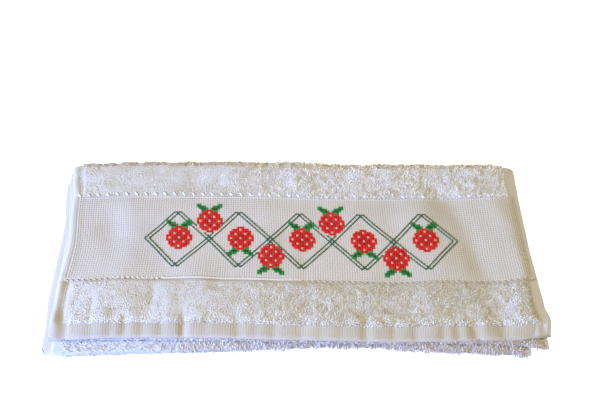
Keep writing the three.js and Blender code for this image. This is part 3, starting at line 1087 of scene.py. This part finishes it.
@dataclass
class TowelSheet:
    """The one piece of cloth, hems and all, as a closed sheet in its folds.

    The steps are the distances between rows or columns, and sunk is how far the sheet's face is lowered
    under the raised weaves.
    """

    cloth: FoldedCloth
    column_step: float = 2.6
    terry_step: float = 1.7
    plain_step: float = 3.4
    band_step: float = 2.6
    hem_step: float = 1.2
    change_step: float = 0.5
    outer_turn_step: float = 1.0
    small_turn_step: float = 0.8
    inside_edge: float = 1.9
    sunk: float = 0.4

    def rows(self) -> Array:
        """Returns the distances along the cloth of the sheet's rows, close together where it changes."""
        cloth = self.cloth
        half = cloth.weave_change / 2
        edge = [0.0, 0.3, 0.7, 1.2]
        stops = [
            edge,
            evenly(self.inside_edge, cloth.end_hem - half, self.hem_step),
            evenly(cloth.end_hem - half, cloth.end_hem + half, self.change_step),
            evenly(cloth.end_hem + half, cloth.band_start - half, self.terry_step),
            evenly(cloth.band_start - half, cloth.band_start + half, self.change_step),
            evenly(cloth.band_start + half, cloth.band_end - half, self.band_step),
            evenly(cloth.band_end - half, cloth.band_end + half, self.change_step),
            evenly(cloth.band_end + half, OUTER_FOLD[0], self.terry_step),
            evenly(*OUTER_FOLD, self.outer_turn_step),
            evenly(OUTER_FOLD[1], FRONT_FOLD[0], self.plain_step),
            evenly(*FRONT_FOLD, self.small_turn_step),
            evenly(FRONT_FOLD[1], INNER_FOLD[0], self.plain_step),
            evenly(*INNER_FOLD, self.small_turn_step),
            evenly(INNER_FOLD[1], cloth.length - cloth.end_hem - half, self.plain_step),
            evenly(cloth.length - cloth.end_hem - half, cloth.length - self.inside_edge, self.hem_step),
            [cloth.length - step for step in reversed(edge)],
        ]
        return np.concatenate([np.asarray(s, float) for s in stops])

    def columns(self) -> Array:
        """Returns the distances across the cloth of the sheet's columns, close together in the side hems."""
        side = np.array([0.0, 0.35, 0.8, 1.4, 2.4, 3.6, 5.0, 6.4, 7.5, 8.3, 9.1, 9.9, 10.6])
        limit = self.cloth.width / 2
        middle = evenly(-limit + side[-1], limit - side[-1], self.column_step)
        return np.concatenate([side[:-1] - limit, middle, (limit - side)[::-1]])

    def build(self, finish: ClothFinish) -> bpy.types.Object:
        """Returns the dressed sheet."""
        rows = self.rows()
        columns = self.columns()
        along, across = np.meshgrid(rows, columns, indexing="ij")
        parts = MeshParts()
        uv = np.stack([across, along], axis=-1)
        tone = np.full(uv.shape, 0.5)
        shape = (len(rows), len(columns))
        upper = self.cloth.face(along, across, -self.sunk * self.cloth.covered(along, across))
        lower = self.cloth.face(along, across, side=-1.0)
        parts.add(upper, grid_faces(*shape), uv, tone)
        parts.add(lower, grid_faces(*shape, flip=True), uv, tone)
        number = np.arange(shape[0] * shape[1]).reshape(shape)
        other = number + number.size
        rims = [
            (number[0], other[0], False),
            (number[-1], other[-1], True),
            (number[:, 0], other[:, 0], True),
            (number[:, -1], other[:, -1], False),
        ]
        for near, far, flip in rims:
            quads = np.stack([near[:-1], far[:-1], far[1:], near[1:]], axis=-1)
            parts.faces.append(quads[:, ::-1] if flip else quads)
        return dress(parts.make("towel_cloth"), finish.make())


@dataclass
class RaisedWeave:
    """A closed skin of raised blocks or ribs on the embroidered face."""

    cloth: FoldedCloth
    name: str
    start: float
    end: float
    left: float
    right: float
    block: float = BLOCK
    rise: float = 0.17
    groove: float = 0.10
    pit: float = 0.15
    blocks_along: bool = True
    sink: float = 0.45

    def relief(self, along: Array, across: Array) -> Array:
        """Returns the height of the weave above its grooves' floor."""
        u = np.abs(((across / self.block) % 1.0) - 0.5) * 2.0
        in_u = smooth_ramp(u, 0.55, 1.0)
        if not self.blocks_along:
            return self.rise * (1.0 - in_u)
        v = np.abs(((along / self.block) % 1.0) - 0.5) * 2.0
        in_v = smooth_ramp(v, 0.55, 1.0)
        checker = np.sign(np.sin(math.pi * across / self.block) * np.sin(math.pi * along / self.block))
        firm = mix(0.5, 1.0, smooth_ramp(across, -120.0, -50.0))
        top = self.rise + 0.03 * checker * firm
        lower = (self.rise - self.groove) * np.maximum(in_u, 0.5 * in_v)
        return top - (lower + self.pit * in_u * in_v) * firm

    def build(self, finish: BandFinish) -> bpy.types.Object:
        """Returns the dressed skin."""
        steps = np.array([0.0, 0.22, 0.78])
        left = math.ceil(self.left / self.block)
        right = math.floor(self.right / self.block)
        across = ((np.arange(left, right)[:, None] + steps) * self.block).ravel()
        across = np.append(across, right * self.block)
        if self.blocks_along:
            first = math.ceil(self.start / self.block)
            last = math.floor(self.end / self.block)
            along = ((np.arange(first, last)[:, None] + steps) * self.block).ravel()
            along = np.append(along, last * self.block)
        else:
            along = np.linspace(self.start, self.end, 10)
        v, u = np.meshgrid(along, across, indexing="ij")
        shape = v.shape
        lift = self.relief(v, u) - self.groove
        top = self.cloth.face(v, u, lift)
        parts = MeshParts()
        uv = np.stack([u, v], axis=-1)
        tone = np.stack([np.full(shape, 0.5), np.ones(shape)], axis=-1)
        parts.add(top, grid_faces(*shape), uv, tone)

        # The skin is closed by a coarser underside inside the cloth, one face for each block.
        number = np.arange(v.size).reshape(shape)
        row_step = len(steps) if self.blocks_along else 1
        coarse = number[::row_step, ::len(steps)]
        low_v = v.ravel()[coarse]
        low_u = u.ravel()[coarse]
        below = parts.add(
            self.cloth.face(low_v, low_u, -self.sink),
            grid_faces(*coarse.shape, flip=True),
            uv.reshape(-1, 2)[coarse],
            tone.reshape(-1, 2)[coarse],
        )
        under = np.arange(coarse.size).reshape(coarse.shape) + below
        edges = [
            (number[0], under[0], len(steps), False),
            (number[-1], under[-1], len(steps), True),
            (number[:, 0], under[:, 0], row_step, True),
            (number[:, -1], under[:, -1], row_step, False),
        ]
        for top_edge, low_edge, step, flip in edges:
            for i in range(len(low_edge) - 1):
                polygon = [low_edge[i], low_edge[i + 1], *top_edge[i * step:(i + 1) * step + 1][::-1]]
                parts.polygons.append(polygon[::-1] if flip else polygon)
        return dress(parts.make(self.name), finish.make())


@dataclass
class Pile:
    """One stretch of looped pile, as one joined mesh of short bent yarns.

    Left_height is the share of the full height that the loops have on the left.  Their colour is painted
    light
    and shade: it follows the clumps and blotches, is lighter and less patchy on the left, changes from
    left_tone to right_tone, and shifts at the start by start_tone.  Where bright_edge is set, the loops up to
    it and just behind it are taller, thicker and painted lighter, and the loops towards the end are painted
    in shade.
    Combed loops keep near one direction, across the cloth on the left and along it on the right.
    """

    cloth: FoldedCloth
    name: str
    start: float
    end: float
    left: float
    right: float
    spacing_across: float = 1.0
    spacing_along: float = 1.08
    height: float = 0.7
    yarn: float = 0.34
    left_height: float = 0.4
    unevenness: float = 0.6
    face: float = 1.0
    spread: float = 0.7
    combed: bool = False
    lean: float = 0.0
    left_tone: float = 0.0
    right_tone: float = 0.0
    start_tone: float = 0.0
    bright_edge: float | None = None
    seed: int = 1
    rings: int = 5
    sides: int = 3
    scatter: float = 0.42
    edge_width: float = 4.5
    start_width: float = 13.0
    shaded_end: float = 9.0
    above_floor: float = 0.45
    rises_over: tuple[float, float] = (-60.0, 0.0)
    shades_over: tuple[float, float] = (-80.0, 10.0)
    calm_over: tuple[float, float] = (-80.0, 20.0)
    combed_over: tuple[float, float] = (-80.0, -62.0)

    def build(self, finish: bpy.types.Material) -> bpy.types.Object:
        """Returns the dressed pile."""
        random = np.random.default_rng(self.seed)
        along, across = np.meshgrid(
            evenly(self.start, self.end, self.spacing_along),
            evenly(self.left, self.right, self.spacing_across),
            indexing="ij",
        )
        along = along.ravel()
        across = across.ravel()
        count = len(along)
        off_along = random.uniform(-self.scatter, self.scatter, count)
        off_across = random.uniform(-self.scatter, self.scatter, count)
        along = along + off_along * self.spacing_along + self.spacing_along / 2
        across = across + off_across * self.spacing_across + self.spacing_across / 2
        clump = SmoothNoise(self.seed + 40, 2.3)
        drift = SmoothNoise(self.seed + 50, 3.4)
        sway = SmoothNoise(self.seed + 60, 3.4)
        blotches = SmoothNoise(self.seed + 70, 3.0)
        uneven = 1.0 + self.unevenness * clump(along, across) + random.uniform(-0.15, 0.15, count)
        tall = self.height * uneven * mix(self.left_height, 1.0, smooth_ramp(across, *self.rises_over))
        lean_across = 0.5 * drift(along, across) + random.normal(0.0, 0.16, count)
        lean_along = self.lean + 0.4 * sway(along, across) + random.normal(0.0, 0.16, count)
        at_edge = np.zeros(count)
        if self.bright_edge is not None:
            at_edge = 1.0 - smooth_ramp(along, self.bright_edge, self.bright_edge + self.edge_width)
        tall = tall * (1.0 + 0.55 * at_edge)
        lean_along = lean_along - 0.4 * at_edge
        turn = random.uniform(0.0, math.pi, count)
        if self.combed:
            turn = random.normal(0.0, 0.3, count) + math.pi / 2 * smooth_ramp(across, *self.combed_over)
        spread = self.spread * random.uniform(0.79, 1.21, count)
        crosswise, lengthwise, outward = self.cloth.directions(along, across)
        outward = outward * self.face
        low = -0.15 - 0.10 * (1.0 - smooth_ramp(across, *self.rises_over))
        base = self.cloth.face(along, across, low, self.face)

        t = np.linspace(0.0, 1.0, self.rings)
        arch = np.sin(math.pi * t) ** 0.75
        swing = (t - 0.5)[None] * spread[:, None]
        bow = 0.15 * np.sin(2 * math.pi * t)[None] * random.uniform(-1.0, 1.0, count)[:, None]
        du = swing * np.cos(turn)[:, None] + lean_across[:, None] * arch - bow * np.sin(turn)[:, None]
        dv = swing * np.sin(turn)[:, None] + lean_along[:, None] * arch + bow * np.cos(turn)[:, None]
        dn = tall[:, None] * arch
        paths = (
            base[:, None, :]
            + crosswise[:, None, :] * du[..., None]
            + lengthwise[:, None, :] * dv[..., None]
            + outward[:, None, :] * dn[..., None]
        )
        paths[..., 2] = np.maximum(paths[..., 2], self.above_floor)
        side = -crosswise * np.sin(turn)[:, None] + lengthwise * np.cos(turn)[:, None]
        up = np.repeat(side[:, None, :], self.rings, axis=1)
        thickness = self.yarn * (1.0 + 0.3 * at_edge) * random.uniform(0.85, 1.2, count)
        yarn = np.repeat(thickness[:, None], self.rings, axis=1)
        points, faces = many_tubes(paths, up, yarn, yarn, self.sides)
        tone = np.empty((count, self.rings, self.sides, 2))
        # Painted light and shade: each loop's tone follows the clumps and blotches, is lighter and calmer on
        # the left, and changes across and at the start.
        patchy = 0.55 * clump(along, across) + 0.5 * blotches(along, across)
        calm = 1.0 - smooth_ramp(across, *self.calm_over)
        own = 0.53 + 0.17 * calm + patchy * (1.0 - 0.35 * calm) + random.uniform(-0.08, 0.08, count)
        own = own + mix(self.left_tone, self.right_tone, smooth_ramp(across, *self.shades_over))
        own = own + self.start_tone * (1.0 - smooth_ramp(along, self.start, self.start + self.start_width))
        # Painted highlight near the hem's edge, and painted shade towards the end.
        if self.bright_edge is not None:
            own = own + 0.45 * at_edge - 0.3 * smooth_ramp(along, self.end - self.shaded_end, self.end)
        tone[..., 0] = np.clip(own, 0.0, 1.0)[:, None, None]
        tone[..., 1] = np.clip(dn / (1.2 * self.height), 0.0, 1.0)[:, :, None]
        uv = np.zeros((count, self.rings, self.sides, 2))
        uv[..., 0] = (t * 3.0)[None, :, None] + (np.arange(self.sides) / self.sides)[None, None, :]
        parts = MeshParts()
        parts.add(points, faces, uv, tone)
        return dress(parts.make(self.name), finish)


@dataclass
class StitchSet:
    """Short stitches on the embroidered face, each from one place on the cloth to another.

    Wide and high are half a stitch's width and half its thickness in its middle, and it tapers to under half
    of them at its ends.  Arch is how far its middle rises, and bedded how deep its ends lie in the cloth.
    """

    cloth: FoldedCloth
    name: str
    wide: float
    high: float
    arch: float
    rings: int = 5
    sides: int = 5
    bedded: float = 0.12
    ends: list[tuple[float, float, float, float, float]] = field(default_factory=list)

    def add(self, along: float, across: float, along_to: float, across_to: float, lift: float = 0.0) -> None:
        """Adds one stitch between two places, raised by lift."""
        self.ends.append((along, across, along_to, across_to, lift))

    def build(self, material: bpy.types.Material, seed: int) -> bpy.types.Object:
        """Returns the dressed stitches as one piece.

        Args:
            material: their finish.
            seed: for each stitch's own shade and slight unevenness.
        """
        random = np.random.default_rng(seed)
        ends = np.array(self.ends)
        count = len(ends)
        t = np.linspace(0.0, 1.0, self.rings)
        along = mix(ends[:, 0, None], ends[:, 2, None], t[None])
        across = mix(ends[:, 1, None], ends[:, 3, None], t[None])
        curve = np.sin(math.pi * t) ** 0.6
        rise = self.arch * random.uniform(0.85, 1.15, count)[:, None] * curve[None]
        lift = rise - self.bedded + ends[:, 4, None] * curve[None]
        paths = self.cloth.face(along, across, lift)
        _, _, outward = self.cloth.directions(along[:, :1], across[:, :1])
        up = np.repeat(outward, self.rings, axis=1)
        taper = 0.45 + 0.55 * np.sin(math.pi * t) ** 0.5
        wide = self.wide * random.uniform(0.9, 1.1, count)[:, None] * taper[None]
        high = self.high * taper[None] * np.ones((count, 1))
        points, faces = many_tubes(paths, up, wide, high, self.sides)
        tone = np.empty((count, self.rings, self.sides, 2))
        tone[..., 0] = random.uniform(0.0, 1.0, count)[:, None, None]
        tone[..., 1] = curve[None, :, None]
        uv = np.zeros((count, self.rings, self.sides, 2))
        uv[..., 0] = (np.arange(self.sides) / self.sides)[None, None, :]
        uv[..., 1] = t[None, :, None]
        parts = MeshParts()
        parts.add(points, faces, uv, tone)
        ring = self.rings * self.sides
        for tube in range(count):
            first = tube * ring
            parts.polygons.append(list(range(first, first + self.sides))[::-1])
            parts.polygons.append(list(range(first + ring - self.sides, first + ring)))
        return dress(parts.make(self.name), material)


# ---------------------------------------------------------------- the cross-stitch

ROSETTE = (
    "....RRR....",
    "..RRRwRRR..",
    ".RRDRRRDRR.",
    ".RDwRDRwDR.",
    "RRRRDDDRRRR",
    "RwRDDwDDRwR",
    "RRRRDDDRRRR",
    ".RDwRDRwDR.",
    ".RRDRRRDRR.",
    "..RRRwRRR..",
    "....RRR....",
)

LEAF_PAIR = (
    "gg.......gg",
    "gGgg...ggGg",
    ".gGGg.gGGg.",
    "..gg...gg..",
)


class Floss(Enum):
    """The embroidery's threads, by the letter that stands for each in a chart."""

    RED = "R"
    DEEP_RED = "D"
    PINK = "w"
    LEAF = "g"
    DEEP_LEAF = "G"


@dataclass
class Embroidery:
    """A border of red rosettes with green leaves in a lattice of double dark green lines."""

    cloth: FoldedCloth
    block: float = BLOCK
    centre_across: float = 0.8
    centre_along: float = 66.2
    half_diamond: int = 13
    diamonds: int = 5
    line_gap: int = 1
    outer_row: int = 8
    rosette_radius: float = 5.6
    wide: float = 0.48
    high: float = 0.22
    crossing_lift: float = 0.16

    def place(self, column: float, row: float) -> tuple[float, float]:
        """Returns the place on the cloth, along and across, of a corner of the chart's grid."""
        middle_column = round(self.centre_across / self.block)
        middle_row = round(self.centre_along / self.block)
        return (middle_row + row) * self.block, (middle_column + column) * self.block

    def motifs(self) -> list[tuple[int, int, bool]]:
        """Returns each rosette's column and row on the grid, and whether its leaves are above it."""
        wide = 2 * self.half_diamond
        left = -self.half_diamond * self.diamonds
        inner = [(left + self.half_diamond + wide * i, 0, i % 2 == 0) for i in range(self.diamonds)]
        outer = [
            (left + wide * i, self.outer_row if i % 2 else -self.outer_row, bool(i % 2))
            for i in range(1, self.diamonds)
        ]
        return inner + outer

    def crosses(self) -> dict[Floss, StitchSet]:
        """Returns the cross-stitches of all rosettes and leaves, gathered by thread."""
        sets = {
            floss: StitchSet(self.cloth, f"cross_stitch_{floss.name.lower()}", self.wide, self.high, 0.30)
            for floss in Floss
        }
        half = len(ROSETTE) / 2
        for column, row, leaves_above in self.motifs():
            self._chart(sets, ROSETTE, column - half, row - half)
            leaves = LEAF_PAIR if leaves_above else LEAF_PAIR[::-1]
            leaf_row = row + half - 1.0 if leaves_above else row - half + 1.0 - len(LEAF_PAIR)
            self._chart(sets, leaves, column - half, leaf_row)
        return sets

    def _chart(self, sets: dict[Floss, StitchSet], chart: Sequence[str], column: float, row: float) -> None:
        """Adds one charted motif, with its lower left corner at a column and row of the grid."""
        for i, line in enumerate(reversed(chart)):
            for j, letter in enumerate(line):
                if letter == ".":
                    continue
                low, left = self.place(column + j + 0.5, row + i + 0.5)
                high, right = low + self.block, left + self.block
                stitches = sets[Floss(letter)]
                stitches.add(low, left, high, right)
                stitches.add(low, right, high, left, self.crossing_lift)

    def lines(self) -> StitchSet:
        """Returns the lattice's back-stitches."""
        stitches = StitchSet(self.cloth, "back_stitch_lattice", wide=0.56, high=0.34, arch=0.34)
        reach = self.half_diamond * self.diamonds
        for mirror in (1, -1):
            for offset in (-self.line_gap, self.line_gap):
                for column in range(-reach, reach):
                    start = self._wave(column) * mirror
                    end = self._wave(column + 1) * mirror
                    if self._covered(column + offset + 0.5, (start + end) / 2):
                        continue
                    low, left = self.place(column + offset, start)
                    high, right = self.place(column + 1 + offset, end)
                    stitches.add(low, left, high, right)
        return stitches

    def _wave(self, column: int) -> int:
        """Returns the row of a line that zigzags from one diamond to the next, at a column."""
        period = 4 * self.half_diamond
        phase = (column + self.half_diamond * self.diamonds) % period
        if phase <= self.half_diamond:
            return phase
        if phase <= 3 * self.half_diamond:
            return 2 * self.half_diamond - phase
        return phase - period

    def _covered(self, column: float, row: float) -> bool:
        """Tells whether a rosette lies over a place on the grid."""
        return any(math.hypot(column - c, row - r) < self.rosette_radius for c, r, _ in self.motifs())


@dataclass
class Towel:
    """The whole towel: cloth, raised weaves, pile, sewing and embroidery."""

    cloth: FoldedCloth = field(default_factory=FoldedCloth)

    def build(self) -> None:
        cloth = self.cloth
        sheet = TowelSheet(cloth).build(ClothFinish())
        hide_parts(CAD_NODE)
        band = RaisedWeave(cloth, "band_weave", cloth.band_start + 0.4, cloth.band_end + 0.8, -147.4, 146.4)
        ribs = RaisedWeave(cloth, "hem_ribs", 0.3, 9.6, -138.6, 141.6, rise=0.07, groove=0.16,
                           blocks_along=False, sink=0.4)
        hem_finish = BandFinish("cotton_hem", rgb(0.58, 0.54, 0.465), rgb(0.41, 0.375, 0.325),
                                crossed=False, groove_depth=0.08)
        pieces = [band.build(BandFinish()), ribs.build(hem_finish)]
        pieces += self.pile()
        pieces += self.sewing()
        pieces += self.needlework()

    def pile(self) -> list[bpy.types.Object]:
        """Returns the stretches of pile that show."""
        cloth = self.cloth
        # The pile's finishes are one cotton painted for where it lies: bluish painted light on the front fold
        # and the second end, warmer to the right; a lighter copy for the back terry; a tan painted shade on
        # the outer fold's rim.
        finish = PileFinish().make()
        edge_finish = PileFinish("cotton_pile_edge", rgb(0.70, 0.73, 0.85), rgb(0.45, 0.42, 0.42),
                                 right_light=rgb(0.70, 0.66, 0.69), right_shade=rgb(0.49, 0.43, 0.42)).make()
        back_finish = PileFinish("cotton_pile_back", rgb(0.88, 0.89, 0.95), rgb(0.61, 0.58, 0.54)).make()
        rim_finish = PileFinish("cotton_pile_rim", rgb(0.84, 0.79, 0.75), rgb(0.55, 0.51, 0.46)).make()
        near = cloth.end_hem - 0.8
        far = cloth.band_end + 1.2
        side = 142.0
        # The tones paint light and shade on each stretch: the terry and outer fold darker on the left, the
        # back terry lighter on the right, the front fold lighter but darker at its bottom, the second end
        # lighter on the left.
        front = Pile(cloth, "pile_front_terry", near, cloth.band_start - 1.3, -139.0, side,
                     left_tone=-0.28, right_tone=-0.1, bright_edge=cloth.end_hem + 0.8, seed=3)
        back = Pile(cloth, "pile_back_terry", far, 121.0, -146.5, 141.0,
                    left_tone=-0.7, right_tone=0.12, seed=4)
        outer = Pile(cloth, "pile_outer_fold", 121.3, 141.0, -143.0, 141.0,
                     spacing_across=1.2, spacing_along=1.3, height=1.0, left_height=1.0, unevenness=0.9,
                     left_tone=-0.5, seed=5)
        fold = Pile(cloth, "pile_front_fold", 257.0, 282.0, -136.0, 147.5,
                    spacing_across=0.95, spacing_along=1.9, height=1.2, left_height=0.5, unevenness=0.9,
                    spread=2.0, combed=True, left_tone=0.1, right_tone=0.3, start_tone=-0.55, seed=6)
        second = Pile(cloth, "pile_second_end", 506.0, 514.9, -side, 147.5,
                      height=0.8, left_height=0.7, face=-1.0, lean=0.9, left_tone=0.7, right_tone=0.1, seed=7)
        return [
            front.build(finish),
            back.build(back_finish),
            outer.build(rim_finish),
            fold.build(edge_finish),
            second.build(edge_finish),
        ]

    def sewing(self) -> list[bpy.types.Object]:
        """Returns the hems' stitches, and the floats and cords where the band meets the terry."""
        cloth = self.cloth
        white = ThreadFinish("sewing_cotton", rgb(0.68, 0.665, 0.665), rgb(0.58, 0.56, 0.55), roughness=0.8)
        material = white.make()
        seams = StitchSet(cloth, "hem_stitches", wide=0.26, high=0.18, arch=0.22)
        pitch = 3.0
        reach = 146.0
        for side in (-1.0, 1.0):
            line = side * (cloth.width / 2 - 6.4)
            for along in evenly(12.0, 120.0, pitch):
                seams.add(along, line, along + pitch * 0.82, line)
        # Painted highlight: the floats are painted lighter and bluer than the sewing cotton.
        bright = ThreadFinish("float_cotton", rgb(0.80, 0.79, 0.85), rgb(0.70, 0.69, 0.72), roughness=0.9)
        floats = StitchSet(cloth, "border_floats", wide=1.0, high=0.34, arch=0.2)
        for across in evenly(-reach, reach, 6.3):
            raised = mix(0.2, 0.0, smooth_ramp(np.float64(across), -40.0, 10.0))
            floats.add(cloth.band_end + 3.3, across, cloth.band_end + 0.8, across + 2.4, raised)
        soft = ThreadFinish("border_cotton", rgb(0.65, 0.635, 0.655), rgb(0.60, 0.58, 0.58), roughness=0.9)
        cord = StitchSet(cloth, "border_cord", wide=1.05, high=0.3, arch=0.12)
        for across in evenly(-116.0, -86.0, 3.1):
            cord.add(cloth.band_start + 1.9, across, cloth.band_start + 0.6, across + 2.2)
        for across in evenly(-86.0, 0.0, 2.6):
            sunk = mix(0.0, -0.3, smooth_ramp(np.float64(across), -22.0, 2.0))
            cord.add(cloth.band_start + 1.8, across, cloth.band_start + 1.0, across + 5.0, sunk)
        # Painted shade: the border stitches where no cord lies are painted tan, as in the shade of the band's
        # edge.
        shaded_seam = ThreadFinish("shaded_seam_cotton", rgb(0.56, 0.53, 0.48), rgb(0.44, 0.40, 0.34), roughness=0.8)
        dashes = StitchSet(cloth, "border_dashes", wide=0.7, high=0.3, arch=0.05)
        for start, end in ((-reach, -86.0), (4.0, 144.0)):
            for across in evenly(start, end, 3.6):
                dashes.add(cloth.band_start + 1.2, across, cloth.band_start + 0.1, across + 2.6)
        return [
            seams.build(material, seed=21),
            floats.build(bright.make(), seed=22),
            cord.build(soft.make(), seed=23),
            dashes.build(shaded_seam.make(), seed=24),
        ]

    def needlework(self) -> list[bpy.types.Object]:
        """Returns the embroidery, one piece for each thread."""
        embroidery = Embroidery(self.cloth)
        shades = {
            Floss.RED: (rgb(0.82, 0.006, 0.006), rgb(0.46, 0.002, 0.002)),
            Floss.DEEP_RED: (rgb(0.60, 0.004, 0.004), rgb(0.30, 0.002, 0.002)),
            Floss.PINK: (rgb(0.90, 0.50, 0.45), rgb(0.68, 0.24, 0.21)),
            Floss.LEAF: (rgb(0.004, 0.33, 0.06), rgb(0.001, 0.14, 0.025)),
            Floss.DEEP_LEAF: (rgb(0.001, 0.10, 0.02), rgb(0.001, 0.04, 0.01)),
        }
        pieces = []
        for i, (floss, stitches) in enumerate(embroidery.crosses().items()):
            finish = ThreadFinish(f"floss_{floss.name.lower()}", *shades[floss])
            pieces.append(stitches.build(finish.make(), seed=31 + i))
        dark = ThreadFinish("floss_line_green", rgb(0.03, 0.13, 0.10), rgb(0.015, 0.06, 0.05))
        pieces.append(embroidery.lines().build(dark.make(), seed=41))
        return pieces


# ---------------------------------------------------------------- the studio


class Lamp(NamedTuple):
    """A soft square lamp that looks at the towel: its place and side in metres, power in watts, colour."""

    name: str
    place: tuple[float, float, float]
    size: float
    power: float
    colour: tuple[float, float, float]


LAMPS = (
    Lamp("window_left", (-1.1, -0.33, 0.46), 0.24, 24.5, (0.42, 0.57, 1.0)),
    Lamp("window_front", (-0.42, -0.38, 0.12), 0.2, 1.9, (0.1, 0.27, 1.0)),
    Lamp("ceiling", (0.0, -0.2, 1.4), 1.0, 17.7, (1.0, 0.87, 0.5)),
)
WORLD_COLOUR = (0.97, 0.98, 1.0, 1.0)
WORLD_STRENGTH = 0.02


@dataclass
class Studio:
    """Floor, light and camera.

    Elevation is in degrees; distance, aim, lens and sensor are in millimetres, and the floor in metres.
    """

    elevation: float = 58.7
    distance: float = 433.9
    aim: tuple[float, float, float] = (8.8, 32.5, 13.0)
    lens: float = 38.2353
    sensor_width: float = 36.0
    floor_size: float = 12.0
    floor_height: float = -0.0002

    def build(self) -> None:
        """Makes the floor, the lights and the camera."""
        self._floor()
        for lamp in LAMPS:
            self._lamp(lamp)
        self._world()
        self._camera()

    def _floor(self) -> None:
        """Makes a wide flat floor just under the towel."""
        bpy.ops.object.select_all(action="DESELECT")
        bpy.ops.mesh.primitive_plane_add(size=self.floor_size, location=(0.0, 0.0, self.floor_height))
        floor = bpy.context.active_object
        floor.name = "floor"
        bpy.ops.object.transform_apply(location=True, rotation=False, scale=False)
        floor.data.materials.append(FloorFinish().make())

    def _lamp(self, lamp: Lamp) -> None:
        """Hangs one lamp and turns it towards the towel."""
        light = bpy.data.lights.new(lamp.name, "AREA")
        light.shape = "SQUARE"
        light.size = lamp.size
        light.energy = lamp.power
        light.color = lamp.colour
        hung = bpy.data.objects.new(lamp.name, light)
        hung.location = lamp.place
        towards = -np.array(lamp.place) / float(np.linalg.norm(lamp.place))
        hung.rotation_euler = (math.acos(-towards[2]), 0.0, math.atan2(-towards[0], towards[1]))
        bpy.context.scene.collection.objects.link(hung)

    def _world(self) -> None:
        """Fills the room with a little even white light, and keeps the colours plain."""
        world = bpy.data.worlds.new("studio")
        world.use_nodes = True
        background = world.node_tree.nodes["Background"]
        background.inputs["Color"].default_value = WORLD_COLOUR
        background.inputs["Strength"].default_value = WORLD_STRENGTH
        bpy.context.scene.world = world
        bpy.context.scene.view_settings.view_transform = "Standard"

    def _camera(self) -> None:
        """Places the camera above the front, looking down at the towel."""
        tilt = math.radians(self.elevation)
        back = np.array([0.0, -math.cos(tilt), math.sin(tilt)])
        data = bpy.data.cameras.new("camera")
        data.sensor_width = self.sensor_width
        data.lens = self.lens
        data.clip_start = 0.01
        camera = bpy.data.objects.new("camera", data)
        camera.location = (np.array(self.aim) + back * self.distance) * MM
        camera.rotation_euler = (math.pi / 2 - tilt, 0.0, 0.0)
        bpy.context.scene.collection.objects.link(camera)
        bpy.context.scene.camera = camera


def main() -> None:
    """Builds the studio and the towel."""
    logging.basicConfig(level=logging.INFO, format="%(name)s: %(message)s")
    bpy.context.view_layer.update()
    Studio().build()
    Towel().build()
    bpy.context.view_layer.update()


if __name__ == "__main__":
    main()
